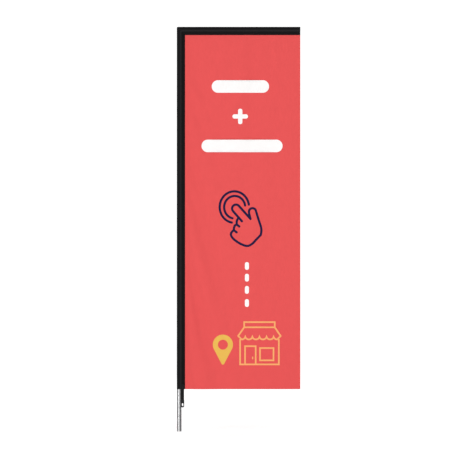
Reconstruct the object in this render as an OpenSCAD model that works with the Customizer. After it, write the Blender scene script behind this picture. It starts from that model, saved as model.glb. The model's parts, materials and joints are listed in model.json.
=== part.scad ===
// Rectangular banner flag on an L-shaped pole.
// Z runs up the pole from its foot, X runs out along the top arm, and the printed side faces -Y.
// The elbow's stem turns in the top of the pole, so the whole flag swings round the pole.

/* [Flag] */
// Overall width of the fabric, pole sleeve included
flag_w = 750; // [500:10:900]
// Height of the fabric, arm sleeve included
flag_h = 2200; // [1500:10:2600]
// Thickness of the printed cloth
cloth_t = 0.5; // [0.4:0.05:0.6]
// Width of the hem down the free edge and along the bottom
hem_w = 12; // [8:1:20]
// Thickness of the folded hem
hem_t = 1.2; // [1:0.1:1.6]

/* [Pole] */
// Outside diameter of the pole and arm tubes
pole_d = 28; // [26:1:29]
// Wall of the pole and arm tubes
pole_wall = 1.5; // [1.2:0.1:2]
// Length of pole that shows below the flag
exposed_h = 255; // [200:5:400]
// Length of the tube spigots that join the pole sections
spigot_len = 180; // [120:5:240]
// Wall of the spigots
spigot_wall = 2; // [1.5:0.1:2.5]

/* [Foot] */
// Bore of the foot bush, for the spindle of a flag base
spindle_bore_d = 20.2; // [14:0.1:21]
// Length of the foot bush
foot_bush_len = 150; // [80:5:180]

/* [Elbow] */
// Length of each elbow leg between the corner and the tube's end
elbow_leg = 20; // [20:1:40]
// Length of the stem that turns in the pole
turning_stem_len = 90; // [60:5:120]
// Length of the stem inside the arm
arm_stem_len = 65; // [50:5:90]

/* [Sleeve] */
// Thickness of the sleeve cloth
sleeve_t = 0.8; // [0.6:0.1:1]
// Slack between a tube and the sleeve round it
sleeve_slack = 0.4; // [0.3:0.1:1]
// Distance from the tube's axis to the sleeve's sewn edge
seam_reach = 35; // [34:1:45]
// Width of the flat seam where the two sleeve layers grip the printed cloth
seam_w = 3.5; // [3:0.5:6]

/* [Strap] */
// Width of the elastic strap
strap_w = 20; // [15:1:20]
// Thickness of the elastic strap
strap_t = 1.4; // [1.2:0.1:1.4]
// Length of strap sewn on the sleeve's front flank
strap_sewn = 30; // [20:5:60]
// Height of the bottom of the strap's end tab
tab_bottom = 144; // [120:1:150]
// Length of the end tab
tab_len = 48; // [44:1:60]
// Thickness of the end tab
tab_t = 3; // [2.6:0.1:3]
// Width of the eye in the end tab
eye_w = 10.5; // [8:0.5:11]
// Height of the eye in the end tab
eye_h = 17; // [12:1:20]

/* [Hidden] */
$fn = 96;
eps = 0.01;                 // overlap of shapes that are joined
big = 200;                  // reach of a cutting block
plug_gap = 0.05;            // radial gap of a plug in a tube
butt_gap = 0.3;             // gap under the elbow's shoulder
pole_r = pole_d / 2;
bore_r = pole_r - pole_wall;
plug_r = bore_r - plug_gap;
sleeve_in_r = pole_r + sleeve_slack;
sleeve_out_r = sleeve_in_r + sleeve_t;
slot_half = cloth_t / 2 + 0.1;
seam_x = seam_reach - seam_w;
arm_z = exposed_h + flag_h - sleeve_out_r;
flag_right = flag_w - sleeve_out_r;
pole_top = arm_z - elbow_leg - butt_gap;
section_len = pole_top / 3;
spigot_seated = spigot_len / 3;
rivet_below_joint = spigot_seated / 2;
rivet_r = 1.6;
rivet_head_r = 3.2;
rivet_head_h = 0.9;
rivet_proud = 0.4;
rivet_bulb_r = 2.4;
rivet_bulb_gap = 0.5;       // gap between the spigot's wall and the rivet's bulb
arm_start = elbow_leg + butt_gap;
patch_t = 1.2;
patch_x = flag_right - patch_t - 1.6;
cap_flange_t = 2.5;
cap_dome_h = 5;
cap_stem_len = 20;
cap_gap = 0.5;
arm_end = patch_x - cap_gap - cap_dome_h - cap_flange_t;
core_r = 8;                 // hollow inside the elbow's stems
core_floor = 4;             // material left between the core and the elbow's corner
land_len = 12;              // full-width land at each end of a stem
land_drop = 0.8;            // how far the stem is relieved between its lands
corner_cut = 3;             // depth of the flat that blunts the elbow's outer corner
gusset = 5;                 // reach of the web inside the elbow's corner
gusset_t = 5;
screw_x = arm_start + 25;
screw_r = 1.75;
screw_head_r = 3.5;
screw_head_h = 2.4;
screw_len = 10;
strap_off = sleeve_out_r + 0.1 + strap_t / 2;   // from the pole's axis to the middle of the strap
strap_edge = 4.6;           // from the start of the sleeve's flat flank to the strap's edge
strap_flex_gap = 0.5;       // the strap bends between its sewn tail and its free length
tab_w = strap_w + 2;
tab_slot_depth = 15;
strap_bottom = tab_bottom + tab_len - tab_slot_depth + 1;
eye_wall = 9;               // material under the eye

// A tube along +Z from the origin
module tube(r, wall, len) {
    difference() {
        cylinder(r = r, h = len);
        translate([0, 0, -1]) cylinder(r = r - wall, h = len + 2);
    }
}

// A tube's outer end with a small chamfer, as a solid plug along +Z
module chamfered_plug(r, len, chamfer) {
    cylinder(r = r, h = len - chamfer);
    translate([0, 0, len - chamfer - eps]) cylinder(r1 = r, r2 = r - chamfer, h = chamfer + eps);
}

// A countersunk blind rivet pointing along -Y from the tube's face at y = 0.
// Its cone starts above that face, and whatever stands proud is trimmed to the tube.
module rivet(grow = 0) {
    depth = pole_wall + spigot_wall + 1.5;
    rotate([90, 0, 0]) {
        translate([0, 0, -rivet_proud])
            cylinder(r1 = rivet_head_r + grow, r2 = rivet_r + grow, h = rivet_proud + rivet_head_h);
        cylinder(r = rivet_r + grow, h = depth);
    }
}

// Puts its children at the rivet below a joint: joint 1 is the lower one and joint 2 the upper one
module at_rivet(joint) {
    translate([0, pole_r, joint * section_len - rivet_below_joint]) children();
}

module section_tube(index) {
    translate([0, 0, index * section_len]) tube(pole_r, pole_wall, section_len);
}

// A section with the hole for the rivet near its top
module riveted_section(index) {
    difference() {
        section_tube(index);
        at_rivet(index + 1) rivet(0.05);
    }
}

module lower_pole() { color("silver") riveted_section(0); }
module middle_pole() { color("silver") riveted_section(1); }
module upper_pole() { color("silver") section_tube(2); }

// A spigot is seated in the section below the joint and stands up into the section above it
module spigot(joint) {
    difference() {
        translate([0, 0, joint * section_len - spigot_seated]) difference() {
            chamfered_plug(plug_r, spigot_len, 1);
            translate([0, 0, -1]) cylinder(r = plug_r - spigot_wall, h = spigot_len + 2);
        }
        at_rivet(joint) rivet(0.05);
    }
}

module lower_spigot() { color("gainsboro") spigot(1); }
module upper_spigot() { color("gainsboro") spigot(2); }

module pole_rivets() {
    color("gainsboro") for (joint = [1, 2]) at_rivet(joint) intersection() {
        union() {
            rivet();
            rotate([90, 0, 0]) translate([0, 0, pole_wall + spigot_wall + rivet_bulb_gap])
                cylinder(r1 = rivet_bulb_r, r2 = rivet_r, h = 1.6);
        }
        translate([0, -pole_r, -rivet_head_r * 2]) cylinder(r = pole_r, h = rivet_head_r * 4);
    }
}

module foot_bush() {
    color("dimgray") difference() {
        chamfered_plug(plug_r, foot_bush_len, 1);
        translate([0, 0, -1]) cylinder(d = spindle_bore_d, h = foot_bush_len + 2);
    }
}

// Block on one side of the 45 degree mitre through the corner: turn is -45 for the arm's side
// and 135 for the pole's side
module mitre_side(turn) {
    translate([0, 0, arm_z]) rotate([0, turn, 0]) translate([0, -big / 2, -big]) cube([big, big, 2 * big]);
}

module arm_side_of_mitre() { mitre_side(-45); }
module pole_side_of_mitre() { mitre_side(135); }

// A stem along +Z that fills a tube at its two lands and is hollow from its far end
module stem(len) {
    difference() {
        union() {
            cylinder(r = plug_r - land_drop, h = len - 1);
            cylinder(r = plug_r, h = land_len);
            translate([0, 0, len - land_len]) chamfered_plug(plug_r, land_len, 1.5);
        }
        translate([0, 0, core_floor]) cylinder(r = core_r, h = len);
    }
}

module corner_elbow() {
    color([0.12, 0.12, 0.13]) difference() {
        union() {
            difference() {
                translate([0, 0, pole_top + butt_gap]) cylinder(r = pole_r, h = elbow_leg + pole_r + 1);
                arm_side_of_mitre();
            }
            difference() {
                translate([-pole_r - 1, 0, arm_z]) rotate([0, 90, 0])
                    cylinder(r = pole_r, h = elbow_leg + pole_r + 1);
                pole_side_of_mitre();
            }
            translate([0, gusset_t / 2, 0]) rotate([90, 0, 0]) linear_extrude(height = gusset_t)
                polygon([[0, arm_z], [0, arm_z - pole_r - gusset], [pole_r, arm_z - pole_r - gusset],
                         [pole_r + gusset, arm_z - pole_r], [pole_r + gusset, arm_z]]);
            translate([0, 0, pole_top + butt_gap + eps]) rotate([180, 0, 0]) stem(turning_stem_len);
            translate([elbow_leg - eps, 0, arm_z]) rotate([0, 90, 0]) stem(arm_stem_len);
        }
        arm_screw_hole(screw_r + 0.03);
        translate([-pole_r, 0, arm_z + pole_r]) rotate([0, -135, 0])
            translate([-corner_cut, -big / 2, -big / 2]) cube([big, big, big]);
    }
}

module arm_screw_hole(r) {
    translate([screw_x, 0, arm_z - pole_r - 1]) cylinder(r = r, h = screw_len + 4);
}

module arm_tube() {
    color("silver") difference() {
        translate([arm_start, 0, arm_z]) rotate([0, 90, 0]) tube(pole_r, pole_wall, arm_end - arm_start);
        arm_screw_hole(screw_r + 0.1);
    }
}

// A pan-head screw that stands up into the arm from below
module arm_screw() {
    color("gray") translate([screw_x, 0, arm_z - pole_r - 0.1]) difference() {
        union() {
            translate([0, 0, -screw_head_h]) cylinder(r1 = screw_head_r - 0.8, r2 = screw_head_r, h = 0.8);
            translate([0, 0, 0.8 - screw_head_h]) cylinder(r = screw_head_r, h = screw_head_h - 0.8);
            cylinder(r = screw_r, h = screw_len - 2);
            translate([0, 0, screw_len - 2 - eps]) cylinder(r1 = screw_r, r2 = 0.4, h = 2);
        }
        for (turn = [0, 90])
            rotate([0, 0, turn]) translate([-2, -0.4, -screw_head_h - eps]) cube([4, 0.8, 1.5]);
    }
}

module arm_end_cap() {
    dome_base_r = pole_r - 0.5;
    dome_r = (dome_base_r * dome_base_r + cap_dome_h * cap_dome_h) / (2 * cap_dome_h);
    color([0.12, 0.12, 0.13]) translate([arm_end, 0, arm_z]) rotate([0, 90, 0]) difference() {
        union() {
            translate([0, 0, -cap_stem_len]) difference() {
                cylinder(r = plug_r, h = cap_stem_len + eps);
                translate([0, 0, -1]) cylinder(r = core_r, h = cap_stem_len - 1);
            }
            cylinder(r = pole_r, h = cap_flange_t);
            intersection() {
                translate([0, 0, cap_flange_t + cap_dome_h - dome_r]) sphere(r = dome_r);
                translate([0, 0, cap_flange_t - eps]) cylinder(r = pole_r, h = cap_dome_h + 1);
            }
        }
    }
}

// Angle of the point where a line from [x, y] touches a circle of radius r round the origin
function touch_angle(r, x, y) = atan2(y, x) + acos(r / norm([x, y]));

// Section of a sleeve: round over its tube, then two flat sides that meet at the seam.
// The section points along +X, and end is how far its seam reaches.
module teardrop(r, half, end) {
    a = touch_angle(r, seam_x, half);
    t = (r - 0.02) * [cos(a), sin(a)];
    circle(r = r);
    polygon([[t[0], -t[1]], [seam_x, -half], [end, -half], [end, half], [seam_x, half], t]);
}

module sleeve_section() {
    difference() {
        teardrop(sleeve_out_r, slot_half + sleeve_t, seam_reach);
        teardrop(sleeve_in_r, slot_half, seam_reach + 1);
    }
}

module pole_sleeve() {
    color([0.1, 0.1, 0.11]) difference() {
        translate([0, 0, exposed_h]) linear_extrude(height = flag_h + 1) sleeve_section();
        arm_side_of_mitre();
    }
}

module arm_sleeve() {
    color([0.1, 0.1, 0.11]) difference() {
        translate([-sleeve_out_r - 1, 0, arm_z]) rotate([0, 90, 0])
            linear_extrude(height = flag_w + 1) sleeve_section();
        pole_side_of_mitre();
    }
}

// Cloth plug sewn across the end of the arm sleeve
module sleeve_end_patch() {
    color([0.1, 0.1, 0.11]) translate([patch_x, 0, arm_z]) rotate([0, 90, 0])
        linear_extrude(height = patch_t) intersection() {
            teardrop(sleeve_in_r - 0.1, slot_half, seam_reach);
            translate([-big / 2, -big / 2]) square([big / 2 + seam_x - 3, big]);
        }
}

module flag_panel() {
    left = seam_x + 0.2;
    top = arm_z - seam_x - 0.2;
    hem_left = seam_reach + 0.2;
    hem_top = arm_z - seam_reach - 0.2;
    color([0.9, 0.33, 0.32]) {
        translate([left, -cloth_t / 2, exposed_h]) cube([flag_right - left, cloth_t, top - exposed_h]);
        translate([hem_left, -hem_t / 2, exposed_h]) cube([flag_right - hem_left, hem_t, hem_w]);
        translate([flag_right - hem_w, -hem_t / 2, exposed_h]) cube([hem_w, hem_t, hem_top - exposed_h]);
    }
}

// Stands its children beside the front flank of the pole sleeve, in the middle of the strap.
// Their x runs along the flank to the seam, and their -y points outwards.
module on_flank() {
    flank_turn = 90 - touch_angle(sleeve_out_r, seam_x, slot_half + sleeve_t);
    rotate([0, 0, flank_turn]) translate([strap_edge + strap_w / 2, -strap_off, 0]) children();
}

module strap_length(bottom, top) {
    on_flank() translate([-strap_w / 2, -strap_t / 2, bottom]) cube([strap_w, strap_t, top - bottom]);
}

// End of the elastic strap, sewn on the front flank of the sleeve above its mouth
module strap_tail() {
    tail_bottom = exposed_h + strap_flex_gap;
    color([0.1, 0.1, 0.1]) strap_length(tail_bottom, tail_bottom + strap_sewn);
}

// Free length of the elastic strap, from the sleeve's mouth down into the tab
module tension_strap() {
    color([0.1, 0.1, 0.1]) strap_length(strap_bottom, exposed_h - strap_flex_gap);
}

// Oval of width w and height h that stands on the X axis, with round ends
module oval(w, h) {
    translate([0, w / 2]) circle(d = w);
    translate([0.02 - w / 2, w / 2]) square([w - 0.04, h - w]);
    translate([0, h - w / 2]) circle(d = w);
}

// Flat moulded tab with an oval eye, to pull down over a peg on a flag base
module strap_tab() {
    slot_t = strap_t + 2 * plug_gap;
    color([0.08, 0.08, 0.08]) on_flank() translate([0, tab_t / 2, tab_bottom]) difference() {
        rotate([90, 0, 0]) linear_extrude(height = tab_t) difference() {
            union() {
                translate([0, tab_w / 2]) circle(d = tab_w);
                translate([0.02 - tab_w / 2, tab_w / 2]) square([tab_w - 0.04, tab_len - tab_w / 2]);
            }
            translate([0, eye_wall]) oval(eye_w, eye_h);
        }
        translate([-tab_w, -(tab_t + slot_t) / 2, tab_len - tab_slot_depth])
            cube([2 * tab_w, slot_t, tab_slot_depth + 1]);
    }
}

lower_pole();
middle_pole();
upper_pole();
lower_spigot();
upper_spigot();
pole_rivets();
foot_bush();
corner_elbow();
arm_tube();
arm_screw();
arm_end_cap();
flag_panel();
pole_sleeve();
arm_sleeve();
sleeve_end_patch();
strap_tail();
tension_strap();
strap_tab();
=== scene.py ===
"""Looks of a rectangular banner flag: printed cloth, black sleeves, elastic strap and an aluminium pole."""

import json
import math

import bmesh
import bpy
import numpy as np
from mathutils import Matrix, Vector
from mathutils.geometry import delaunay_2d_cdt


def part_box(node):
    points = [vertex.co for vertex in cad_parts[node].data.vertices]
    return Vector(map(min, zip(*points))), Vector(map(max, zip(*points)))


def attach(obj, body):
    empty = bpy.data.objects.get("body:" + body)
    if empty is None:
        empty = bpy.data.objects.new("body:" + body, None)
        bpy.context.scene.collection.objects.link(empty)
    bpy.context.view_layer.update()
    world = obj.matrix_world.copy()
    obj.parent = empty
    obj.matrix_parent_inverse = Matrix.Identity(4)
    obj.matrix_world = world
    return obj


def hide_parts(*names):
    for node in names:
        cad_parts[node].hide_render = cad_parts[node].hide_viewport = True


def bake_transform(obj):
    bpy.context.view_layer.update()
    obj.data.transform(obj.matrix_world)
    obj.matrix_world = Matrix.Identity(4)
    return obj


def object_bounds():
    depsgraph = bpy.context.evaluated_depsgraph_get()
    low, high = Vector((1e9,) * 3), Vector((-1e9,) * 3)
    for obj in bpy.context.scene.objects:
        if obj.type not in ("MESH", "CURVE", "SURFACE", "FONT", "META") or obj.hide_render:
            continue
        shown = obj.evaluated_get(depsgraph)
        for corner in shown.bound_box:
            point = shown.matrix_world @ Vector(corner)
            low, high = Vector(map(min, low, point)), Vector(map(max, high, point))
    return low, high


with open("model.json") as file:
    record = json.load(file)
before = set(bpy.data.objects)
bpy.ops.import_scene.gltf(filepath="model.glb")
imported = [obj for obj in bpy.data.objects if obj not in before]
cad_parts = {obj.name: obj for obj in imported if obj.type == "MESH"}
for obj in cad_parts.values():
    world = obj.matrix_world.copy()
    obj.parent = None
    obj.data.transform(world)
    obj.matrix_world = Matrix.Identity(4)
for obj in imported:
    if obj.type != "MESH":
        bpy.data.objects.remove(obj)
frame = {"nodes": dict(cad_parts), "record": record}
CAD_LOW, CAD_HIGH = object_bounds()
MIDDLE = (CAD_LOW + CAD_HIGH) / 2
MM = 0.001

# -------- places and sizes, from the frame
SLEEVE_LOW, SLEEVE_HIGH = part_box("pole_sleeve")
PANEL_LOW, PANEL_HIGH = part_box("flag_panel")
TAB_LOW, TAB_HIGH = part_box("strap_tab")
PATCH_LOW, PATCH_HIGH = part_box("sleeve_end_patch")
STRAP_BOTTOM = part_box("tension_strap")[0].z
STRAP_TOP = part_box("strap_tail")[1].z

STRAP_SWING = next(j for j in frame["record"]["behaviour"]["joints"] if j["name"] == "strap_swing")
STRAP_AT = Vector(STRAP_SWING["pos_m"])  # middle of the strap where it bends
STRAP_ACROSS = -Vector(STRAP_SWING["axis"]).normalized()  # across the strap, towards the seam
STRAP_OUT = Vector((STRAP_ACROSS.y, -STRAP_ACROSS.x, 0))  # out of the strap's front face
STRAP_W = 20 * MM
STRAP_T = 1.4 * MM
STRAP_SPLIT = 235 * MM  # height where the strap's bending length meets its stretching one
TAB_W = 22 * MM
TAB_T = 3.0 * MM
EYE_W, EYE_H, EYE_WALL = 10.5 * MM, 17 * MM, 9 * MM  # the tab's eye, and the wall below it

OUT_R = -SLEEVE_LOW.x  # outside of the sleeve round its tube
SEAM_END = SLEEVE_HIGH.x  # how far the sleeve's sewn edge reaches from the tube's axis
ARM_Z = CAD_HIGH.z - OUT_R  # height of the arm's axis
MOUTH_Z = SLEEVE_LOW.z  # lower end of the pole sleeve, and of the cloth
FREE_X = PANEL_HIGH.x  # free edge of the cloth
SHOWN_TOP = PANEL_HIGH.z - (SEAM_END - PANEL_LOW.x)  # the arm's sleeve covers the cloth above this

SLEEVE_T = 0.8 * MM  # thickness of the sleeve's cloth
SEAM_W = 3.5 * MM  # width of the flat seam
SEAM_X = SEAM_END - SEAM_W
SEAM_HALF = 0.75 * MM  # middle of a sleeve layer at the seam, from the cloth's middle
MID_R = OUT_R - SLEEVE_T / 2
CLOTH_HALF = 0.25 * MM  # half the thickness of the printed cloth
HEM_HALF = 0.6 * MM  # half the thickness of its hem
HEM_W = 12 * MM
HEM_STEP = 0.8 * MM  # width over which the hem's fold steps down to the single cloth
STITCH_INSET = 1.8 * MM  # from the inner edge of a hem or a seam to its row of stitches


# -------- small helpers
def soft_noise(u, v, scale_u, scale_v, seed, waves=7):
    """Smooth values from about -1 to 1 over u and v, the sum of seeded plane waves."""
    rng = np.random.default_rng(seed)
    total = np.zeros(np.broadcast(u, v).shape)
    for _ in range(waves):
        angle = rng.uniform(0, math.tau)
        pitch = rng.uniform(0.7, 1.5)
        phase = rng.uniform(0, math.tau)
        total = total + np.sin(
            math.tau * pitch * (np.cos(angle) * u / scale_u + np.sin(angle) * v / scale_v) + phase)
    return total / math.sqrt(waves) / 1.4


def smooth_step(low, high, x):
    t = np.clip((x - low) / (high - low), 0, 1)
    return t * t * (3 - 2 * t)


def unit(v):
    """The rows of v, each scaled to length 1."""
    return v / np.linalg.norm(v, axis=1)[:, None]


def distances_along(path):
    return np.concatenate([[0], np.cumsum(np.linalg.norm(np.diff(path, axis=0), axis=1))])


def at_distances(s, along, rows):
    """The columns of rows, which lie at the distances along, each interpolated at the distances s."""
    return [np.interp(s, along, column) for column in rows.T]


def add_object(name, data):
    obj = bpy.data.objects.new(name, data)
    bpy.context.scene.collection.objects.link(obj)
    return obj


def mesh_object(name, points, faces, materials, face_materials=None):
    mesh = bpy.data.meshes.new(name)
    mesh.from_pydata([tuple(p) for p in points], [], [tuple(int(i) for i in f) for f in faces])
    for m in materials:
        mesh.materials.append(m)
    if face_materials is not None:
        mesh.polygons.foreach_set("material_index", np.asarray(face_materials, dtype=np.int32))
    mesh.polygons.foreach_set("use_smooth", [True] * len(mesh.polygons))
    mesh.validate()
    mesh.update()
    return add_object(name, mesh)


def grid_faces(rows, columns, close=False):
    """Quads of a grid of rows x columns points, joined round its columns if close is set."""
    faces = []
    for r in range(rows - 1):
        for c in range(columns if close else columns - 1):
            d = (c + 1) % columns
            faces.append((r * columns + c, r * columns + d, (r + 1) * columns + d, (r + 1) * columns + c))
    return faces


def evaluated_mesh(obj):
    """A new mesh of the object with its modifiers applied."""
    graph = bpy.context.evaluated_depsgraph_get()
    return bpy.data.meshes.new_from_object(obj.evaluated_get(graph))


def thicken(obj, thickness):
    solid = obj.modifiers.new("thickness", "SOLIDIFY")
    solid.thickness = thickness
    solid.offset = 0
    solid.use_even_offset = False
    mesh = evaluated_mesh(obj)
    obj.modifiers.clear()
    obj.data = mesh
    return obj


# -------- materials
class Shader:
    """A new material with its Principled shader, and short ways to add the nodes that this file uses."""

    def __init__(self, name, color, roughness, metallic=0.0, sheen=0.0, specular=0.5):
        self.material = bpy.data.materials.new(name)
        self.material.use_nodes = True
        self.tree = self.material.node_tree
        self.surface = self.tree.nodes["Principled BSDF"]
        for socket, value in (("Base Color", (*color, 1)), ("Roughness", roughness), ("Metallic", metallic),
                              ("Specular IOR Level", specular), ("Sheen Weight", sheen),
                              ("Sheen Roughness", 0.5)):
            self.surface.inputs[socket].default_value = value
        self.color = color
        self.place = self.tree.nodes.new("ShaderNodeTexCoord").outputs["Object"]
        self.height = None

    def link(self, output, node_input):
        self.tree.links.new(output, node_input)

    def noise(self, size, detail=2.0, stretch=(1, 1, 1)):
        place = self.tree.nodes.new("ShaderNodeMapping")
        place.inputs["Scale"].default_value = [s / size for s in stretch]
        self.link(self.place, place.inputs["Vector"])
        node = self.tree.nodes.new("ShaderNodeTexNoise")
        node.inputs["Scale"].default_value = 1
        node.inputs["Detail"].default_value = detail
        self.link(place.outputs["Vector"], node.inputs["Vector"])
        return node.outputs["Fac"]

    def wave(self, pitch, axis):
        node = self.tree.nodes.new("ShaderNodeTexWave")
        node.bands_direction = axis
        node.inputs["Scale"].default_value = math.tau / 20 / pitch
        node.inputs["Distortion"].default_value = 0
        self.link(self.place, node.inputs["Vector"])
        return node.outputs["Fac"]

    def math(self, operation, a, b):
        node = self.tree.nodes.new("ShaderNodeMath")
        node.operation = operation
        for value, socket in ((a, node.inputs[0]), (b, node.inputs[1])):
            if isinstance(value, (int, float)):
                socket.default_value = value
            else:
                self.link(value, socket)
        return node.outputs[0]

    def mixed(self, a, share_a, b, share_b):
        """The sum of two factors, each times its share."""
        return self.math("ADD", self.math("MULTIPLY", a, share_a), self.math("MULTIPLY", b, share_b))

    def band(self, axis, middle, reach):
        """1 on a plane across that axis, falling to 0 at that distance from it."""
        split = self.tree.nodes.new("ShaderNodeSeparateXYZ")
        self.link(self.place, split.inputs[0])
        off = self.math("ABSOLUTE", self.math("SUBTRACT", split.outputs[axis], middle), 0)
        node = self.tree.nodes.new("ShaderNodeMapRange")
        node.interpolation_type = "SMOOTHSTEP"
        node.inputs["From Min"].default_value = reach
        node.inputs["From Max"].default_value = 0
        self.link(off, node.inputs["Value"])
        return node.outputs["Result"]

    def vary_color(self, factor, amount):
        """Lets the colour swing by that share of itself, as factor goes from 0 to 1."""
        node = self.tree.nodes.new("ShaderNodeMix")
        node.data_type = "RGBA"
        node.clamp_factor = False
        low, high = [socket for socket in node.inputs if socket.type == "RGBA"]
        low.default_value = (*[c * (1 - amount) for c in self.color], 1)
        high.default_value = (*[min(1, c * (1 + amount)) for c in self.color], 1)
        self.link(factor, node.inputs[0])
        self.link(next(o for o in node.outputs if o.type == "RGBA"), self.surface.inputs["Base Color"])

    def vary_roughness(self, factor, low, high):
        node = self.tree.nodes.new("ShaderNodeMapRange")
        node.inputs["To Min"].default_value = low
        node.inputs["To Max"].default_value = high
        self.link(factor, node.inputs["Value"])
        self.link(node.outputs["Result"], self.surface.inputs["Roughness"])

    def bump(self, factor, depth):
        node = self.tree.nodes.new("ShaderNodeBump")
        node.inputs["Distance"].default_value = depth
        self.link(factor, node.inputs["Height"])
        if self.height is not None:
            self.link(self.height, node.inputs["Normal"])
        self.height = node.outputs["Normal"]
        self.link(self.height, self.surface.inputs["Normal"])


def printed_cloth(name, color):
    """Knitted polyester, dyed through: fine loops, soft sheen and slight unevenness of the dye."""
    s = Shader(name, color, 0.78, sheen=0.03, specular=0.2)
    loops = s.math("MULTIPLY", s.wave(1.1 * MM, "X"), s.wave(0.9 * MM, "Z"))
    s.vary_color(s.mixed(s.noise(55 * MM, 3), 0.7, s.noise(4 * MM, 2), 0.3), 0.05)
    s.vary_roughness(loops, 0.72, 0.86)
    s.bump(loops, 0.05 * MM)
    s.bump(s.noise(9 * MM, 3), 0.12 * MM)
    return s.material


def woven_cloth(name, color, axis=None, middle=0.0):
    """Plain-woven black polyester, with a painted highlight: a greyer band round middle on an axis."""
    s = Shader(name, color, 0.62, sheen=0.01, specular=0.08)
    weave = s.mixed(s.wave(0.7 * MM, "Z"), 0.5, s.wave(0.7 * MM, "X"), 0.5)
    mottle_and_highlight = s.noise(30 * MM, 4)
    if axis:
        # painted highlight: a greyer band along the sleeve, standing in for light on its flank
        mottle_and_highlight = s.mixed(mottle_and_highlight, 0.3, s.band(axis, middle, PAINTED_HIGHLIGHT_REACH), 1.6)
    s.vary_color(mottle_and_highlight, 0.35)
    s.vary_roughness(s.noise(12 * MM, 3), 0.55, 0.70)
    s.bump(weave, 0.05 * MM)
    s.bump(s.noise(7 * MM, 3), 0.15 * MM)
    return s.material


def elastic_webbing(name, color):
    """Elastic webbing: dull rubber-cored yarn with fine cross ribs."""
    s = Shader(name, color, 0.7, sheen=0.03, specular=0.15)
    s.vary_color(s.noise(2.5 * MM, 3), 0.3)
    s.vary_roughness(s.noise(1.5 * MM, 2), 0.6, 0.8)
    s.bump(s.wave(0.8 * MM, "Z"), 0.06 * MM)
    return s.material


def sewing_thread(name, color):
    s = Shader(name, color, 0.5, sheen=0.15, specular=0.4)
    s.vary_color(s.noise(1.5 * MM, 2), 0.25)
    s.bump(s.wave(0.35 * MM, "DIAGONAL"), 0.03 * MM)
    return s.material


def drawn_aluminium(name, color, roughness):
    """Anodised tube with fine draw lines along Z, handling marks and a soft gloss."""
    s = Shader(name, color, roughness, metallic=1.0)
    lines = s.noise(1.2 * MM, 3, stretch=(1, 1, 0.004))
    marks = s.noise(25 * MM, 5, stretch=(1, 1, 0.35))
    s.vary_color(marks, 0.04)
    s.vary_roughness(s.mixed(lines, 0.6, marks, 0.4), roughness - 0.03, roughness + 0.05)
    s.bump(lines, 0.005 * MM)
    return s.material


def plated_steel(name, color):
    s = Shader(name, color, 0.35, metallic=1.0)
    s.vary_color(s.noise(2 * MM, 4), 0.08)
    s.vary_roughness(s.noise(3 * MM, 3), 0.28, 0.45)
    s.bump(s.noise(0.6 * MM, 2), 0.01 * MM)
    return s.material


def moulded_plastic(name, color, grain=0.5 * MM):
    """Injection-moulded plastic with a fine spark-eroded grain."""
    s = Shader(name, color, 0.5, specular=0.35)
    s.vary_color(s.noise(14 * MM, 3), 0.12)
    s.vary_roughness(s.noise(5 * MM, 3), 0.42, 0.58)
    s.bump(s.noise(grain, 2), 0.02 * MM)
    return s.material


PRINT_COLORS = {
    "red": (0.574, 0.0606, 0.0606),
    "white": (0.70, 0.685, 0.68),
    "navy": (0.003, 0.003, 0.040),
    "yellow": (0.590, 0.355, 0.062),
    "amber": (0.670, 0.300, 0.105),
}
BLACK = (0.0074, 0.0070, 0.0078)
PAINTED_HIGHLIGHT_AT = 9 * MM  # how far from the tube's axis, towards the seam, the sleeves carry a painted highlight band
PAINTED_HIGHLIGHT_REACH = 9 * MM  # half the width of the painted highlight band

PRINT = [printed_cloth("print_" + name, color) for name, color in PRINT_COLORS.items()]
# Both sleeves' cloth carries a painted highlight band near the tube's axis
POLE_CLOTH = woven_cloth("sleeve_black", BLACK, "X", PAINTED_HIGHLIGHT_AT)
ARM_CLOTH = woven_cloth("arm_sleeve_black", BLACK, "Z", ARM_Z - PAINTED_HIGHLIGHT_AT)
PATCH_CLOTH = woven_cloth("patch_black", BLACK)
WEBBING = elastic_webbing("webbing_black", (0.008, 0.008, 0.008))
BLACK_THREAD = sewing_thread("thread_black", (0.016, 0.015, 0.016))
RED_THREAD = sewing_thread("thread_red", (0.52, 0.070, 0.065))
ALUMINIUM = drawn_aluminium("aluminium_drawn", (0.77, 0.77, 0.78), 0.27)
MILL_ALUMINIUM = drawn_aluminium("aluminium_mill", (0.68, 0.68, 0.69), 0.4)
STEEL = plated_steel("steel_zinc", (0.60, 0.60, 0.58))
NYLON = moulded_plastic("nylon_black", (0.022, 0.022, 0.024))
BUSH = moulded_plastic("nylon_grey", (0.055, 0.055, 0.06))
TAB_PLASTIC = moulded_plastic("tab_black", (0.014, 0.014, 0.015), 0.35 * MM)


# -------- camera, light and floor
def add_camera():
    """Level, straight-on and far away, with the flag a little right of the middle."""
    margin = 1.1328  # height of the frame over the height of the flag
    aim_left = 58 * MM  # the frame's middle lies this far left of the flag's middle
    lens = bpy.data.cameras.new("camera")
    lens.lens = 200
    lens.sensor_width = 36
    lens.clip_end = 200
    distance = (CAD_HIGH.z - CAD_LOW.z) * margin * lens.lens / lens.sensor_width
    camera = add_object("camera", lens)
    camera.location = (MIDDLE.x - aim_left, -distance, MIDDLE.z)
    camera.rotation_euler = (math.pi / 2, 0, 0)
    bpy.context.scene.camera = camera


def add_softbox(name, azimuth, width, power):
    """An upright area light that faces the flag's middle. Azimuth 0 is on the camera's side, 90 on +X."""
    height, distance = 5.0, 6.0
    a = math.radians(azimuth)
    away = Vector((math.sin(a), -math.cos(a), 0))
    light = bpy.data.lights.new(name, "AREA")
    light.shape = "RECTANGLE"
    light.size, light.size_y = width, height
    light.energy = power
    obj = add_object(name, light)
    obj.location = MIDDLE + away * distance
    obj.rotation_euler = away.to_track_quat("Z", "Y").to_euler()
    obj.visible_camera = False


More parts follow.
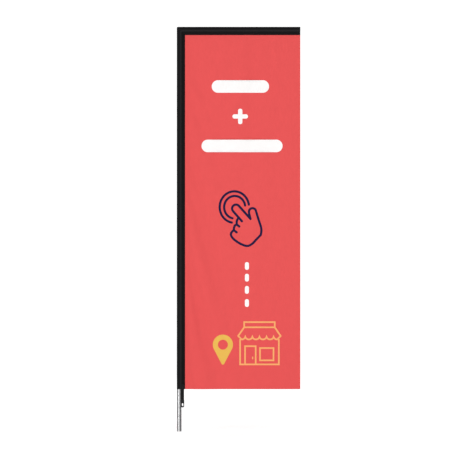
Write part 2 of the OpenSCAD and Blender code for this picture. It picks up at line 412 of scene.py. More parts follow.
def add_world():
    """White all round for the background and the soft light. What gloss reflects is dim, as in a dark studio,
    but for the bright floor straight below."""
    world = bpy.data.worlds.new("studio")
    world.use_nodes = True
    tree = world.node_tree
    tree.nodes.clear()

    def node(kind, **inputs):
        made = tree.nodes.new(kind)
        for name, value in inputs.items():
            made.inputs[name.replace("_", " ")].default_value = value
        return made

    plain_white = (1, 1, 1, 1)
    white = node("ShaderNodeBackground", Color=plain_white, Strength=1.1)
    mirrored = node("ShaderNodeBackground", Color=plain_white)
    direction = node("ShaderNodeSeparateXYZ")
    fall = node("ShaderNodeMapRange", From_Min=-0.5, From_Max=-0.95, To_Min=0.09, To_Max=0.5)
    mix = node("ShaderNodeMixShader")
    for output, node_input in (
            (node("ShaderNodeTexCoord").outputs["Generated"], direction.inputs[0]),
            (direction.outputs["Z"], fall.inputs["Value"]),
            (fall.outputs["Result"], mirrored.inputs["Strength"]),
            (node("ShaderNodeLightPath").outputs["Is Glossy Ray"], mix.inputs[0]),
            (white.outputs[0], mix.inputs[1]),
            (mirrored.outputs[0], mix.inputs[2]),
            (mix.outputs[0], node("ShaderNodeOutputWorld").inputs["Surface"])):
        tree.links.new(output, node_input)
    bpy.context.scene.world = world


def add_floor():
    s = Shader("floor_white", (0.98, 0.98, 0.98), 0.8, specular=0.0)
    s.vary_color(s.noise(0.6, 3), 0.01)
    s.vary_roughness(s.noise(0.2, 3), 0.75, 0.85)
    size = 60
    z = CAD_LOW.z - 0.5 * MM
    corners = [(-size, -size, z), (size, -size, z), (size, size, z), (-size, size, z)]
    floor = mesh_object("floor", corners, [(0, 1, 2, 3)], [s.material])
    floor.visible_glossy = False
    floor.visible_shadow = False


def add_studio():
    bpy.context.scene.view_settings.view_transform = "Standard"
    bpy.context.scene.view_settings.look = "None"
    add_world()
    add_softbox("key", -42, 2.2, 92)
    add_softbox("front", 14, 2.2, 46)
    add_softbox("back_left", -150, 2.0, 30)
    add_softbox("back_right", 138, 2.0, 40)
    add_floor()


add_camera()
add_studio()


# -------- the print, as loops of points on the cloth
CLOSE = 0.05 * MM  # points nearer than this are one point


def arc(center, radii, start, stop, step=6 * MM):
    """Points along an arc, from angle start to stop in degrees, anticlockwise from +X."""
    rx, ry = radii if hasattr(radii, "__len__") else (radii, radii)
    sweep = math.radians(stop - start)
    count = max(4, int(abs(sweep) * max(rx, ry) / step) + 1)
    angles = math.radians(start) + sweep * np.linspace(0, 1, count + 1)
    return np.column_stack([center[0] + rx * np.cos(angles), center[1] + ry * np.sin(angles)])


def curve_through(points, step=6 * MM):
    """A smooth Catmull-Rom curve through a few points."""
    p = np.array(points, float)
    q = np.vstack([2 * p[:1] - p[1:2], p, 2 * p[-1:] - p[-2:-1]])
    out = []
    for i in range(1, len(q) - 2):
        a, b, c, d = q[i - 1:i + 3]
        count = max(2, int(np.linalg.norm(c - b) / step))
        for t in np.arange(count) / count:
            out.append(0.5 * (2 * b + (c - a) * t + (2 * a - 5 * b + 4 * c - d) * t ** 2
                              + (3 * b - a - 3 * c + d) * t ** 3))
    return np.array(out + [p[-1]])


def without_repeats(points):
    """The points without those that lie on the one before. The last one comes before the first."""
    p = np.array(points, float)
    return p[np.linalg.norm(p - np.roll(p, 1, axis=0), axis=1) > CLOSE]


def left_of(directions):
    return np.column_stack([-directions[:, 1], directions[:, 0]])


def stroke(points, width, cap_points=5):
    """Outline of a line with mitred corners and round ends, as one loop."""
    p = without_repeats(points)
    d = unit(np.diff(p, axis=0))
    side = left_of(d)
    joint = unit(np.vstack([side[:1], side[:-1] + side[1:], side[-1:]]))
    reach = np.ones(len(p))
    reach[1:-1] = 1 / np.clip(np.sum(joint[1:-1] * side[1:], axis=1), 0.5, 1)
    half = width / 2
    offset = joint * (half * reach)[:, None]
    turn = np.linspace(0, math.pi, cap_points + 2)[1:-1]
    end = [p[-1] + half * (side[-1] * math.cos(t) + d[-1] * math.sin(t)) for t in turn]
    start = [p[0] - half * (side[0] * math.cos(t) + d[0] * math.sin(t)) for t in turn]
    return np.vstack([p + offset, end, (p - offset)[::-1], start])


def closed_stroke(points, width):
    """Outline of a closed line with mitred corners: an outer and an inner loop."""
    p = np.array(points, float)
    side = left_of(unit(np.roll(p, -1, axis=0) - p))
    joint = unit(side + np.roll(side, 1, axis=0))
    reach = 1 / np.clip(np.sum(joint * side, axis=1), 0.5, 1)
    offset = joint * (width / 2 * reach)[:, None]
    return [p + offset, p - offset]


def rounded_box(center, size, radius):
    cx, cz = center
    hx, hz = size[0] / 2 - radius, size[1] / 2 - radius
    corners = [(hx, hz, 0), (-hx, hz, 90), (-hx, -hz, 180), (hx, -hz, 270)]
    arcs = [arc((cx + x, cz + z), radius, turn, turn + 90, 5 * MM) for x, z, turn in corners]
    return without_repeats(np.vstack(arcs))


def word_bars():
    """Plain bars and a plus sign, where a printed flag carries its words."""
    bar_h, arm, thick = 0.076, 47 * MM, 26 * MM
    cross = (0.370, 1.911)
    shapes = [rounded_box((0.371, 2.093), (0.348, bar_h), bar_h / 2),
              rounded_box((0.381, 1.732), (0.492, bar_h), bar_h / 2),
              rounded_box(cross, (2 * arm, thick), thick / 2.2),
              rounded_box(cross, (thick, 2 * arm), thick / 2.2)]
    return [("white", [loop]) for loop in shapes]


def dashes():
    """Four dashes that lead the eye down to the shop, each gap a little longer than the last."""
    x, width, length = 0.4105, 0.0245, 0.047
    heights = (1.003, 0.932, 0.858, 0.778)
    return [("white", [rounded_box((x, z), (width, length), 0.011)]) for z in heights]


def tapping_hand():
    """A hand that taps, drawn in line, with two rings round its fingertip."""
    cx, cz = 0.3364, 1.3626
    width = 14 * MM

    def at(points):
        return [(cx + x * MM, cz + z * MM) for x, z in points]

    tip, thumb, outer, inner = at([(8, -11), (108, -30), (-2, -2), (0, -3)])
    finger = np.vstack([at([(44, -88)]), arc(tip, 24 * MM, 225, 45), at([(96, -74)])])
    thumb_side = np.vstack([at([(96, -74), (88, -44)]), arc(thumb, 21.5 * MM, 182, 12)])
    wrist = at([(145, -78), (159, -121), (162, -148), (158, -171)])
    palm = curve_through(np.vstack([thumb_side[-1:], wrist]))
    heel = curve_through(at([(158, -171), (132, -198), (106, -225), (78, -238), (46, -230), (12, -211),
                             (-14, -188), (-23, -168), (-17, -152), (-5, -143)]))
    knuckle_low = curve_through(at([(-5, -143), (-4, -126), (2, -113), (13, -108)]))
    knuckle_high = curve_through(at([(13, -108), (12, -92), (16, -78), (24, -68)]))
    folds = [at([(-5, -143), (12, -155)]), at([(13, -108), (28, -120)])]
    rings = [arc(outer, (89 * MM, 95.5 * MM), 9, 260), arc(inner, (64 * MM, 68.5 * MM), 9, 258)]
    lines = [finger, thumb_side, palm, heel, knuckle_low, knuckle_high] + folds + rings
    return [("navy", [stroke(line, width)]) for line in lines]


def map_pin():
    cx, cz, head, hole = 0.2646, 0.5252, 61 * MM, 30.5 * MM
    tip_z, tip_r = 0.413, 9 * MM
    lean = math.degrees(math.acos((head - tip_r) / (cz - tip_z)))
    outline = np.vstack([arc((cx, cz), head, -90 + lean, 270 - lean),
                         arc((cx, tip_z), tip_r, 270 - lean, 270 + lean, 3 * MM)])
    return [("yellow", [outline, arc((cx, cz), hole, 0, 360)[:-1]])]


def scallops(first_x, top, pitch, sag, count):
    """The lower edge of an awning, from the middle of its first scallop to the middle of its last."""
    half_steps = 8
    turn = np.linspace(math.pi, math.tau, 2 * half_steps + 1)
    middles = first_x + pitch * (np.arange(count) + 0.5)
    rows = [np.column_stack([x + pitch / 2 * np.cos(turn), top + sag * np.sin(turn)]) for x in middles]
    return [rows[0][half_steps:]] + rows[1:-1] + [rows[-1][:half_steps + 1]]


def box_corners(left, right, low, high):
    return [(left, low), (right, low), (right, high), (left, high)]


def shop_front():
    """A shop with a sign board, a scalloped awning, a door and a window, drawn in line."""
    width, knob_w = 9.8 * MM, 7 * MM
    left, right, floor, eaves = 0.3693, 0.6042, 0.4055, 0.556
    board_left, board_right, board_low, board_high = 0.394, 0.5795, 0.6306, 0.662
    awning_left, awning_right, awning_z, corner = 0.3575, 0.6155, 0.578, 7 * MM
    door_left, door_right, door_top, knob_x = 0.3992, 0.4638, 0.516, 0.4455
    window_left, window_right, window_low, window_high = 0.490, 0.572, 0.430, 0.5045
    pitch, count, scallop_top, sag = 43 * MM, 6, 0.576, 19 * MM
    # Each end of the awning turns in from its slanted side to the scallops
    left_end = curve_through([(awning_left + corner * 0.7, awning_z + corner), (awning_left, awning_z),
                              (awning_left + corner, awning_z - corner)], 1.5 * MM)
    right_end = curve_through([(awning_right - corner, awning_z - corner), (awning_right, awning_z),
                               (awning_right - corner * 0.7, awning_z + corner)], 1.5 * MM)
    edge = scallops((left + right) / 2 - count / 2 * pitch, scallop_top, pitch, sag, count)
    awning = np.vstack([[(board_left, board_low)], left_end] + edge + [right_end, [(board_right, board_low)]])
    walls = [(left, eaves), (left, floor), (right, floor), (right, eaves)]
    door = [(door_left, floor), (door_left, door_top), (door_right, door_top), (door_right, floor)]
    board = box_corners(board_left, board_right, board_low, board_high)
    window = box_corners(window_left, window_right, window_low, window_high)
    knob = [(knob_x, 0.440), (knob_x, 0.450)]
    loops = [[stroke(line, width)] for line in (awning, walls, door)]
    loops += [closed_stroke(board, width), closed_stroke(window, width), [stroke(knob, knob_w)]]
    return [("amber", shape) for shape in loops]


PRINT_SHAPES = word_bars() + tapping_hand() + dashes() + map_pin() + shop_front()


# -------- how the cloth hangs
class Hang:
    """How far the hung cloth stands out of its flat plane, from a cloth simulation on a coarse grid."""

    def __init__(self, columns=57, rows=169):
        self.x = np.linspace(SEAM_END, FREE_X, columns)
        self.z = np.linspace(MOUTH_Z, SHOWN_TOP, rows)
        self.y = self.simulate()

    def simulate(self):
        rows, columns = len(self.z), len(self.x)
        last_frame = 45
        gx, gz = np.meshgrid(self.x, self.z)
        start = 1.5 * MM * soft_noise(gx, gz, 0.22, 0.5, 11)
        points = np.column_stack([gx.ravel(), start.ravel(), gz.ravel()])
        obj = mesh_object("hang_test", points, grid_faces(rows, columns), [])
        sewn = [i for i in range(rows * columns) if i % columns == 0 or i // columns == rows - 1]
        obj.vertex_groups.new(name="sewn").add(sewn, 1.0, "REPLACE")
        cloth = obj.modifiers.new("cloth", "CLOTH")
        light_knit = dict(quality=6, mass=0.02, tension_stiffness=18, compression_stiffness=18,
                          shear_stiffness=8, bending_stiffness=0.6, air_damping=2.5,
                          shrink_min=-0.0035, shrink_max=-0.0035, vertex_group_mass="sewn")
        for name, value in light_knit.items():
            setattr(cloth.settings, name, value)
        cloth.collision_settings.use_collision = False
        cloth.collision_settings.use_self_collision = False
        cloth.point_cache.frame_end = last_frame
        scene = bpy.context.scene
        for step in range(1, last_frame + 1):
            scene.frame_set(step)
        y = np.array([v.co.y for v in evaluated_mesh(obj).vertices]).reshape(rows, columns)
        scene.frame_set(1)
        bpy.data.objects.remove(obj)
        most = 9 * MM  # the cloth stands out no further than this
        return most * np.tanh(y / most)

    def __call__(self, x, z):
        """The same field at any points, by cubic B-spline weights, and still at the two sewn edges."""
        def weights(t):
            base = np.floor(t).astype(int)
            f = t - base
            return base, [(1 - f) ** 3 / 6, (3 * f ** 3 - 6 * f ** 2 + 4) / 6,
                          (-3 * f ** 3 + 3 * f ** 2 + 3 * f + 1) / 6, f ** 3 / 6]

        bu, wu = weights((x - self.x[0]) / (self.x[1] - self.x[0]))
        bv, wv = weights((z - self.z[0]) / (self.z[1] - self.z[0]))
        total = np.zeros(np.shape(x))
        for j in range(4):
            row = np.clip(bv + j - 1, 0, len(self.z) - 1)
            for i in range(4):
                column = np.clip(bu + i - 1, 0, len(self.x) - 1)
                total = total + wu[i] * wv[j] * self.y[row, column]
        stiff = 30 * MM
        return total * (smooth_step(0, stiff, x - SEAM_END) * smooth_step(0, stiff, SHOWN_TOP - z))


HANG = Hang()


def cloth_half(x, z):
    """Half the cloth's thickness: the hems are folded, and round off at their outer edge."""
    from_edge = np.minimum(FREE_X - x, z - MOUTH_Z)
    hem = 1 - smooth_step(HEM_W - HEM_STEP, HEM_W, from_edge)
    hem = hem * smooth_step(SEAM_END, SEAM_END + 2 * MM, x)
    half = CLOTH_HALF + (HEM_HALF - CLOTH_HALF) * hem
    return half * (0.45 + 0.55 * smooth_step(0, 0.7 * MM, from_edge))


def cloth_pucker(x, z):
    """Small gathers that the hem's and the seam's stitches draw in the cloth."""
    free, low, top = FREE_X - x, z - MOUTH_Z, SHOWN_TOP - z

    def gathers(along, away, seed):
        fade = np.exp(-np.abs(away) / (9 * MM))
        return 0.32 * MM * fade * soft_noise(along, 0 * along, 17 * MM, 1, seed)

    shown = smooth_step(SEAM_END, SEAM_END + 4 * MM, x) * smooth_step(0, 4 * MM, top)
    total = (gathers(z, free - HEM_W, 21) + gathers(x, low - HEM_W, 22)
             + gathers(z, x - SEAM_END, 23) + gathers(x, top, 24))
    return total * shown


def cloth_middle(x, z):
    return HANG(x, z) + cloth_pucker(x, z)


# -------- the printed cloth
def inside(points, loop):
    """Which points lie in a loop, by how often it winds round them."""
    x, z = points[:, 0], points[:, 1]
    result = np.zeros(len(points), bool)
    (low_x, low_z), (high_x, high_z) = loop.min(axis=0), loop.max(axis=0)
    near = (x > low_x) & (x < high_x) & (z > low_z) & (z < high_z)
    px, pz = x[near], z[near]
    winds = np.zeros(len(px), int)
    for a, b in zip(loop, np.roll(loop, -1, axis=0)):
        if a[1] != b[1]:
            crosses = (a[1] > pz) != (b[1] > pz)
            to_the_right = px < (b[0] - a[0]) * (pz - a[1]) / (b[1] - a[1]) + a[0]
            winds[crosses & to_the_right] += 1 if b[1] > a[1] else -1
    result[near] = winds != 0
    return result


def hem_points():
    """Close rows of points along both hems' stitches, so that the cloth follows its gathers there."""
    step = 3.7 * MM
    z = np.arange(MOUTH_Z + HEM_W + 2 * MM, PANEL_HIGH.z - SEAM_W - 12 * MM, step)
    x = np.arange(SEAM_END + 7 * MM, FREE_X - HEM_W - 2 * MM, step)
    rows = []
    for inset in (HEM_W - STITCH_INSET, HEM_W - STITCH_INSET / 2, HEM_W + STITCH_INSET):
        rows += [np.column_stack([0 * z + FREE_X - inset, z]), np.column_stack([x, 0 * x + MOUTH_Z + inset])]
    return np.vstack(rows)


def cloth_points():
    """Points and edges that the cloth's triangles have to keep: a grid, the hems' steps and the print."""
    pitch, gap = 11 * MM, 3.0 * MM  # of the grid, and between it and the print's outlines
    steps = [0.0, 0.35 * MM, 0.8 * MM, HEM_W - HEM_STEP, HEM_W]
    seam = [PANEL_LOW.x, SEAM_END, SEAM_END + 2 * MM, SEAM_END + 5 * MM]
    top = [PANEL_HIGH.z, SHOWN_TOP, SHOWN_TOP - 3 * MM]
    across = np.arange(SEAM_END + 12 * MM, FREE_X - HEM_W - 4 * MM, pitch)
    up = np.arange(MOUTH_Z + HEM_W + 6 * MM, top[-1] - 6 * MM, pitch)
    xs = np.unique(np.round(np.concatenate([seam, across, [FREE_X - s for s in steps]]), 6))
    zs = np.unique(np.round(np.concatenate([[MOUTH_Z + s for s in steps], up, top]), 6))
    gx, gz = np.meshgrid(xs, zs)
    grid = np.column_stack([gx.ravel(), gz.ravel()])
    edge = ((grid[:, 0] <= seam[-1]) | (grid[:, 0] >= FREE_X - HEM_W)
            | (grid[:, 1] <= MOUTH_Z + HEM_W) | (grid[:, 1] >= top[-1]))
    loops = [loop for _, shape in PRINT_SHAPES for loop in shape]
    outline = np.vstack(loops)
    clear = [np.sqrt(((outline - p) ** 2).sum(-1)).min() > gap for p in grid]
    points = [tuple(p) for p in np.vstack([grid[edge | clear], hem_points()])]
    edges = []
    for loop in loops:
        first = len(points)
        points += [tuple(p) for p in loop]
        edges += [(first + i, first + (i + 1) % len(loop)) for i in range(len(loop))]
    return points, edges


def cloth_triangles():
    """The flat cloth as points in X and Z, triangles that turn anticlockwise, and the colour of each."""
    points, edges = cloth_points()
    made = delaunay_2d_cdt([Vector(p) / MM for p in points], edges, [], 0, 0.01)
    flat = np.array([tuple(p) for p in made[0]]) * MM
    triangles = np.array(made[2], dtype=int)
    corners = flat[triangles]
    area = np.cross(corners[:, 1] - corners[:, 0], corners[:, 2] - corners[:, 0])
    speck = 1e-13  # slivers with less than this, in square metres, are dropped
    real = np.abs(area) > speck
    triangles, corners, turned = triangles[real], corners[real], area[real] < 0
    triangles[turned] = triangles[turned][:, ::-1]
    centers = corners.mean(axis=1)
    color = np.zeros(len(triangles), int)
    for name, loops in PRINT_SHAPES:
        odd = np.zeros(len(triangles), bool)
        for loop in loops:
            odd ^= inside(centers, loop)
        color[odd] = list(PRINT_COLORS).index(name)
    return flat, triangles, color


def closed_sheet(front, count):
    """Faces of a sheet's front, then of its back, which uses the points count further on, then of its rim."""
    border = {}
    for face in front:
        for edge in zip(face, (*face[1:], face[0])):
            if edge[::-1] in border:
                del border[edge[::-1]]
            else:
                border[edge] = True
    back = [tuple(i + count for i in reversed(face)) for face in front]
    return front + back + [(b, a, a + count, b + count) for a, b in border]


def plain_normals(x, z):
    """Normals of the cloth's front where it is plain, and zero at its hems and seam, where faces set them."""
    step = 0.5 * MM
    slope_x = (cloth_middle(x + step, z) - cloth_middle(x - step, z)) / (2 * step)
    slope_z = (cloth_middle(x, z + step) - cloth_middle(x, z - step)) / (2 * step)
    normals = unit(np.column_stack([slope_x, np.full(len(x), -1.0), slope_z]))
    from_hem = np.minimum(FREE_X - x, z - MOUTH_Z) - HEM_W
    from_edge = np.minimum.reduce([from_hem, x - SEAM_END - 4 * MM, SHOWN_TOP - z])
    normals[from_edge < 1 * MM] = 0
    return normals


def make_cloth():
    """The panel: a front and a back face with the print in both, joined round the edge."""
    flat, triangles, color = cloth_triangles()
    x, z = flat[:, 0], flat[:, 1]
    middle, half = cloth_middle(x, z), cloth_half(x, z)
    front = np.column_stack([x, middle - half, z])
    back = np.column_stack([x, middle + half, z])
    faces = closed_sheet([tuple(t) for t in triangles], len(flat))
    colors = np.zeros(len(faces), int)
    colors[:2 * len(color)] = np.tile(color, 2)
    cloth = mesh_object("flag_cloth", np.vstack([front, back]), faces, PRINT, colors)
    normals = plain_normals(x, z)
    cloth.data.normals_split_custom_set_from_vertices(np.vstack([normals, -normals]))
    return cloth


# -------- the sleeves
def sleeve_profile(count=76):
    """Middle line of a sleeve's section, from the front seam edge round its tube to the back one.
    Returns the points, their outward normals and the distance along the cloth."""
    touch = math.atan2(SEAM_HALF, SEAM_X) + math.acos(MID_R / math.hypot(SEAM_X, SEAM_HALF))
    turn = np.linspace(-touch, -math.tau + touch, 200)
    line = np.vstack([[(SEAM_END, -SEAM_HALF), (SEAM_X, -SEAM_HALF)],
                      np.column_stack([MID_R * np.cos(turn), MID_R * np.sin(turn)]),
                      [(SEAM_X, SEAM_HALF), (SEAM_END, SEAM_HALF)]])
    along = distances_along(line)
    s = np.linspace(0, along[-1], count)
    p = np.column_stack(at_distances(s, along, line))
    return p, left_of(unit(np.gradient(p, axis=0))), s


PROFILE, PROFILE_NORMAL, PROFILE_S = sleeve_profile()
STRIP_W = float(PROFILE_S[-1])
FLANK_W = math.sqrt(SEAM_X ** 2 + SEAM_HALF ** 2 - MID_R ** 2)  # flat side between the seam and the round


class Sleeve:
    """A strip of cloth folded round a tube. Its own places are out, the distance from the tube's axis towards
    the seam, y, and b, which runs up to the mitre: on the mitre b is -out, and the far end is at -length."""

    def __init__(self, length, seed, cloth, to_world):
        self.length, self.seed, self.cloth, self.to_world = length, seed, cloth, to_world

    def stand_off(self, s, b):
        """How far the cloth stands off its even shape: slack, gathers at the seam and at the ends."""
        seam = np.minimum(s, STRIP_W - s)
        end = b + self.length
        slack = 0.42 * MM * soft_noise(s, b, 45 * MM, 190 * MM, self.seed)
        creases = 0.20 * MM * soft_noise(s + 0.25 * b, b, 26 * MM, 55 * MM, self.seed + 1)
        near_seam = np.exp(-np.abs(seam - SEAM_W) / (6 * MM))
        gathers = 0.24 * MM * near_seam * soft_noise(b, 0 * b, 13 * MM, 1, self.seed + 2)
        corner = np.exp(-np.abs(b) / (45 * MM))
        folds = 0.45 * MM * corner * soft_noise(s, b, 16 * MM, 60 * MM, self.seed + 3)
        tight = 1 - 0.75 * np.exp(-((s - STRIP_W / 2) / (20 * MM)) ** 2)
        off = (slack + creases + folds) * tight
        off = np.where(off < 0, off * 0.35, off) * smooth_step(0, 8 * MM, seam - SEAM_W * 0.5)
        sag = 0.9 * MM * np.sin(math.pi * np.clip((seam - SEAM_W) / FLANK_W, 0, 1)) ** 1.2
        off = (off - sag) * smooth_step(0, 12 * MM, end) + gathers * smooth_step(1 * MM, 6 * MM, seam)
        under_strap = (1 - smooth_step(32 * MM, 40 * MM, s)) * (1 - smooth_step(34 * MM, 60 * MM, end))
        return off * (1 - under_strap)

    def surface(self, s, b, lift=0.0):
        """Points of the cloth's middle, lifted along its normal. s is the distance across the strip, and b is
        where the point would be on a straight sleeve. The mitre's outer corner is rounded."""
        out, y = at_distances(s, PROFILE_S, PROFILE)
        n_out, n_y = at_distances(s, PROFILE_S, PROFILE_NORMAL)
        to_mitre = np.clip(-out - b, 0, None)
        sunk = 0.25 * MM * np.exp(-to_mitre / (1.6 * MM))
        off = self.stand_off(s, b) * smooth_step(0, 10 * MM, to_mitre) - sunk + lift
        p_out, p_y = out + n_out * off, y + n_y * off
        radius = 6.0 * MM * smooth_step(MID_R - 2.4 * MM, MID_R, -out) + 1e-9
        turn = np.clip(1 - (-out - b) / radius, 0, 1) * math.pi / 4
        p_b = np.where(turn > 0, -out - radius + radius * np.sin(turn), np.minimum(b, -p_out))
        p_out = np.where(turn > 0, p_out + radius * (1 - np.cos(turn)), p_out)
        return self.to_world(p_out, p_y, np.minimum(p_b, -p_out))

    def make(self, name):
        """Level rows of points, and near the corner rows that slant more and more into the mitre."""
        near, mitre_rows = 48 * MM, 34
        out = PROFILE[:, 0]
        level = np.arange(-self.length, -near, 5 * MM)
        level = np.unique(np.concatenate([level, -self.length + np.array([1.0, 2.0]) * MM]))
        slanted = -near + (-out + near) * (np.linspace(0, 1, mitre_rows) ** 0.6)[:, None]
        b = np.vstack([np.broadcast_to(level[:, None], (len(level), len(out))), slanted])
        s = np.broadcast_to(PROFILE_S, b.shape)
        points = np.stack(self.surface(s, b), axis=-1).reshape(-1, 3)
        return thicken(mesh_object(name, points, grid_faces(*b.shape), [self.cloth]), SLEEVE_T)


POLE_SLEEVE = Sleeve(ARM_Z - MOUTH_Z, 31, POLE_CLOTH, lambda out, y, b: (out, y, ARM_Z + b))
ARM_SLEEVE = Sleeve(FREE_X, 57, ARM_CLOTH, lambda out, y, b: (-b, y, ARM_Z - out))


# -------- stitches
def stitches(name, rows, material):
    """Short raised threads along rows of points. Each row is (points, normals), closely spaced."""
    length, gap, half_w, height = 2.7 * MM, 0.9 * MM, 0.26 * MM, 0.22 * MM
    places = np.array([0.0, 0.12, 0.5, 0.88, 1.0])
    swell = np.array([0.15, 0.8, 1.0, 0.8, 0.15])
    rise = np.array([-0.25, 0.05, 0.2, 0.05, -0.25]) * height
    ring = 6
    tube = grid_faces(len(places), ring, close=True)
    tube += [tuple(reversed(range(ring))), tuple((len(places) - 1) * ring + k for k in range(ring))]
    points, faces = [], []
    for path, normals in rows:
        along = distances_along(path)
        for start in np.arange(gap, along[-1] - length, length + gap):
            at = start + length * places
            center = np.column_stack(at_distances(at, along, path))
            up = np.mean(at_distances(at, along, normals), axis=1)
            forward, up = unit(np.array([center[-1] - center[0], up]))
            side = np.cross(forward, up)
            first = len(points)
            faces += [tuple(first + i for i in f) for f in tube]
            for c, w, r in zip(center, swell, rise):
                for a in math.tau * np.arange(ring) / ring:
                    points.append(c + side * (half_w * w * math.cos(a)) + up * (r + height * w * math.sin(a)))
    return mesh_object(name, points, faces, [material])


def sleeve_row(sleeve, s, b):
    """A row of points on the sleeve's outer face, and the normals there."""
    s, b = np.broadcast_arrays(s, b)
    low = np.stack(sleeve.surface(s, b), axis=-1)
    high = np.stack(sleeve.surface(s, b, SLEEVE_T / 2), axis=-1)
    return high, unit(high - low)


def sleeve_stitches(sleeve, name):
    """Seam rows on both faces, a hem row round the far end and a row round the mitre."""
    step, hem_w = 1.5 * MM, 18 * MM
    rows = []
    for s in (STITCH_INSET, STRIP_W - STITCH_INSET):
        stop = -np.interp(s, PROFILE_S, PROFILE[:, 0]) - 2 * MM
        rows.append(sleeve_row(sleeve, s, np.arange(-sleeve.length + 1 * MM, stop, step)))
    s = np.arange(3 * MM, STRIP_W - 3 * MM, step)
    out = np.interp(s, PROFILE_S, PROFILE[:, 0])
    rows.append(sleeve_row(sleeve, s, -sleeve.length + hem_w))
    rows.append(sleeve_row(sleeve, s, -out - 4.5 * MM - 3 * MM * np.clip(-out / MID_R, 0, 1)))
    return stitches(name, rows, BLACK_THREAD)


def cloth_row(xs, zs, side):
    """A row of points on one face of the printed cloth: side is -1 for the front and 1 for the back."""
    xs, zs = np.broadcast_arrays(xs, zs)
    y = cloth_middle(xs, zs) + side * cloth_half(xs, zs)
    return np.column_stack([xs, y, zs]), np.tile([0.0, side, 0.0], (len(xs), 1))


def cloth_stitches():
    inset, step = HEM_W - STITCH_INSET, 1.5 * MM
    z = np.arange(MOUTH_Z + 2 * MM, SHOWN_TOP - 1 * MM, step)
    x = np.arange(SEAM_END + 1 * MM, FREE_X - 2 * MM, step)
    rows = []
    for side in (-1, 1):
        rows += [cloth_row(FREE_X - inset, z, side), cloth_row(x, MOUTH_Z + inset, side)]
    return stitches("hem_stitches", rows, RED_THREAD)


# -------- the strap and its tab
def place_on_strap(obj):
    """Moves a mesh made round the Z axis, with its front face to -Y, to where the strap hangs."""
    for v in obj.data.vertices:
        across, depth, z = v.co
        place = STRAP_AT + STRAP_ACROSS * across - STRAP_OUT * depth
        v.co = (place.x, place.y, z)
    return obj


def close_up(obj):
    """Joins points that coincide and turns all faces outwards."""
    fix = bmesh.new()
    fix.from_mesh(obj.data)
    bmesh.ops.remove_doubles(fix, verts=fix.verts, dist=1e-6)
    bmesh.ops.recalc_face_normals(fix, faces=fix.faces)
    fix.to_mesh(obj.data)
    fix.free()
    return obj


def webbing_half(across):
    """Half the thickness of the webbing: lengthwise ribs between two bound edges."""
    ribs = 10
    rib = 0.5 - 0.5 * np.cos(math.tau * ribs * (across / STRAP_W + 0.5))
    edge = STRAP_W / 2 - np.abs(across)
    binding = 1 - smooth_step(1.2 * MM, 2.0 * MM, edge)
    even = 0.80 + 0.14 * rib
    return STRAP_T / 2 * (even + (0.96 - even) * binding) * np.sqrt(np.clip(edge / (0.6 * MM), 0.03, 1))


def webbing(name, low_z, high_z):
    """Elastic webbing with lengthwise ribs, fine cross ribs and bound edges."""
    columns = 97
    rows = int((high_z - low_z) / (0.5 * MM)) + 1
    across, z = np.meshgrid(STRAP_W * np.linspace(-0.5, 0.5, columns), np.linspace(low_z, high_z, rows))
    weft = 0.03 * MM * np.sin(math.tau * z / (2.0 * MM) + 1.3 * np.sin(math.tau * across / (4.2 * MM)))
    half = webbing_half(across) + weft * smooth_step(0, 0.6 * MM, STRAP_W / 2 - np.abs(across))
    front = np.stack([across, -half, z], -1).reshape(-1, 3)
    back = np.stack([across, half, z], -1).reshape(-1, 3)
    faces = closed_sheet(grid_faces(rows, columns), rows * columns)
    return place_on_strap(close_up(mesh_object(name, np.vstack([front, back]), faces, [WEBBING])))


def strap_stitches():
    """A box of stitches with a cross in it, through the strap's sewn end."""
    low_z, high_z, reach = MOUTH_Z + 5 * MM, STRAP_TOP - 3 * MM, STRAP_W / 2 - 3 * MM
    corners = [(-reach, low_z), (reach, low_z), (reach, high_z), (-reach, high_z)]
    lines = list(zip(corners, corners[1:] + corners[:1]))
    lines += [(corners[0], corners[2]), (corners[1], corners[3])]
    rows = []
    for a, b in lines:
        count = int(math.dist(a, b) / (0.5 * MM))
        across, z = (np.linspace(a[k], b[k], count) for k in (0, 1))
        path = np.outer(across, STRAP_ACROSS) + np.outer(webbing_half(across), STRAP_OUT) + np.array(STRAP_AT)
        path[:, 2] = z
        rows.append((path, np.tile(STRAP_OUT, (count, 1))))
    return stitches("strap_stitches", rows, BLACK_THREAD)


def outline_solid(name, loops, thickness, bevel):
    """A plastic plate with rounded edges from an outline and its holes, in X and Z, centred on y = 0."""
    curve = bpy.data.curves.new(name, "CURVE")
    curve.dimensions = "2D"
    curve.fill_mode = "BOTH"
    curve.extrude = thickness / 2 - bevel
    curve.bevel_depth = bevel
    curve.bevel_resolution = 4
    curve.offset = -bevel
    for loop in loops:
        loop = without_repeats(loop)
        spline = curve.splines.new("POLY")
        spline.points.add(len(loop) - 1)
        spline.use_cyclic_u = True
        for point, (x, z) in zip(spline.points, loop):
            point.co = (x, z, 0, 1)
    temp = add_object(name + "_curve", curve)
    mesh = evaluated_mesh(temp)
    bpy.data.objects.remove(temp)
    for v in mesh.vertices:
        v.co = (v.co.x, -v.co.z, v.co.y)
    mesh.materials.clear()
    mesh.materials.append(TAB_PLASTIC)
    mesh.polygons.foreach_set("use_smooth", [True] * len(mesh.polygons))
    return place_on_strap(close_up(add_object(name, mesh)))


def oval_loop(low, width, height):
    r, step = width / 2, 0.6 * MM
    return np.vstack([arc((0, low + height - r), r, 0, 180, step), arc((0, low + r), r, 180, 360, step)])


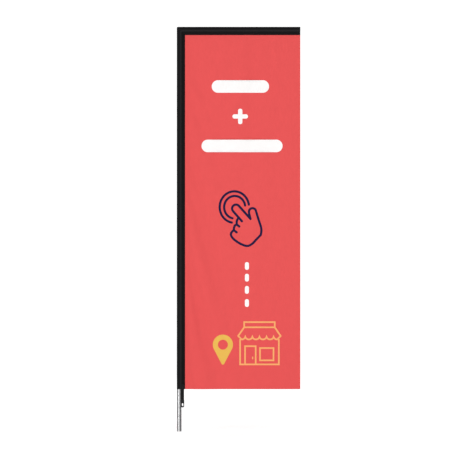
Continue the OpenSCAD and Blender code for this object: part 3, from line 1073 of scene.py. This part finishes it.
def make_tab():
    """The strap's moulded end: a flat tab with a raised rim round its eye and grip ribs over the webbing."""
    eye_low = TAB_LOW.z + EYE_WALL
    r, corner_r, rim_w, step = TAB_W / 2, 3 * MM, 2.2 * MM, 0.6 * MM
    outline = np.vstack([
        arc((r - corner_r, TAB_HIGH.z - corner_r), corner_r, 0, 90, step),
        arc((corner_r - r, TAB_HIGH.z - corner_r), corner_r, 90, 180, step),
        arc((0, TAB_LOW.z + r), r, 180, 360, step)])
    eye = oval_loop(eye_low, EYE_W, EYE_H)
    plate = outline_solid("strap_end_tab", [outline, eye], 0.84 * TAB_T, 0.9 * MM)
    rim = outline_solid("tab_rim", [oval_loop(eye_low - rim_w, EYE_W + 2 * rim_w, EYE_H + 2 * rim_w),
                                    oval_loop(eye_low + 0.05 * MM, EYE_W - 0.1 * MM, EYE_H - 0.1 * MM)],
                        TAB_T, 0.7 * MM)
    ribs = []
    for i in range(3):
        loop = rounded_box((0, TAB_HIGH.z - (4.2 + 3.4 * i) * MM), (TAB_W - 5 * MM, 1.5 * MM), 0.7 * MM)
        ribs.append(outline_solid(f"tab_rib_{i}", [loop], TAB_T, 0.5 * MM))
    return plate, [rim] + ribs


def make_end_patch():
    """A cloth plug sewn across the end of the arm sleeve, pushed out a little by the arm's cap."""
    inner = PROFILE - PROFILE_NORMAL * (SLEEVE_T / 2 + 0.15 * MM)
    loop = inner[inner[:, 0] < SEAM_X - 3.0 * MM]
    x = (PATCH_LOW.x + PATCH_HIGH.x) / 2
    rings, count, points = 14, len(loop), []
    for k in range(1, rings + 1):
        share = k / rings
        bulge = 1.2 * MM * (1 - share ** 2) - 0.5 * MM
        points += [(x + bulge, y, ARM_Z - out) for out, y in loop * share]
    points.append((x + 0.7 * MM, 0.0, ARM_Z))
    faces = grid_faces(rings, count, close=True)
    faces += [(len(points) - 1, (c + 1) % count, c) for c in range(count)]
    return thicken(mesh_object("arm_end_patch", points, faces, [PATCH_CLOTH]), 0.7 * MM)


# -------- build it all
def dress_cad_nodes():
    looks = [(ALUMINIUM, ("lower_pole", "middle_pole", "upper_pole", "arm_tube")),
             (MILL_ALUMINIUM, ("lower_spigot", "upper_spigot", "pole_rivets")),
             (BUSH, ("foot_bush",)),
             (NYLON, ("corner_elbow", "arm_end_cap")),
             (STEEL, ("arm_screw",))]
    for material, nodes in looks:
        for node in nodes:
            for slot in frame["nodes"][node].material_slots:
                slot.material = material


def add_flag():
    """The cloth, both sleeves and the plug with their stitches, which all turn with the arm."""
    cloth = make_cloth()
    pole_sleeve = POLE_SLEEVE.make("pole_sleeve_cloth")
    arm_sleeve = ARM_SLEEVE.make("arm_sleeve_cloth")
    patch = make_end_patch()
    pole_thread = sleeve_stitches(POLE_SLEEVE, "pole_sleeve_stitches")
    arm_thread = sleeve_stitches(ARM_SLEEVE, "arm_sleeve_stitches")
    hem_thread = cloth_stitches()
    pieces = [cloth, pole_sleeve, arm_sleeve, patch, pole_thread, arm_thread, hem_thread]
    for piece in pieces:
        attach(piece, "flag")
    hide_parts("flag_panel")
    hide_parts("pole_sleeve")
    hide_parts("arm_sleeve")
    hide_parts("sleeve_end_patch")
    return pieces


def add_strap():
    """The strap in two lengths, its stitches and its tab."""
    bend = webbing("strap_upper", STRAP_SPLIT, STRAP_TOP)
    free = webbing("strap_lower", STRAP_BOTTOM, STRAP_SPLIT)
    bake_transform(bend)
    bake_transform(free)
    box_thread = strap_stitches()
    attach(box_thread, "flag")
    tab, extras = make_tab()
    for piece in [tab] + extras:
        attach(piece, "strap_end")
    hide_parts("strap_tail")
    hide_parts("tension_strap")
    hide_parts("strap_tab")
    return bend, free, box_thread


def build():
    dress_cad_nodes()
    cloth, pole_sleeve, arm_sleeve, patch, pole_thread, arm_thread, hem_thread = add_flag()
    bend, free, box_thread = add_strap()


build()
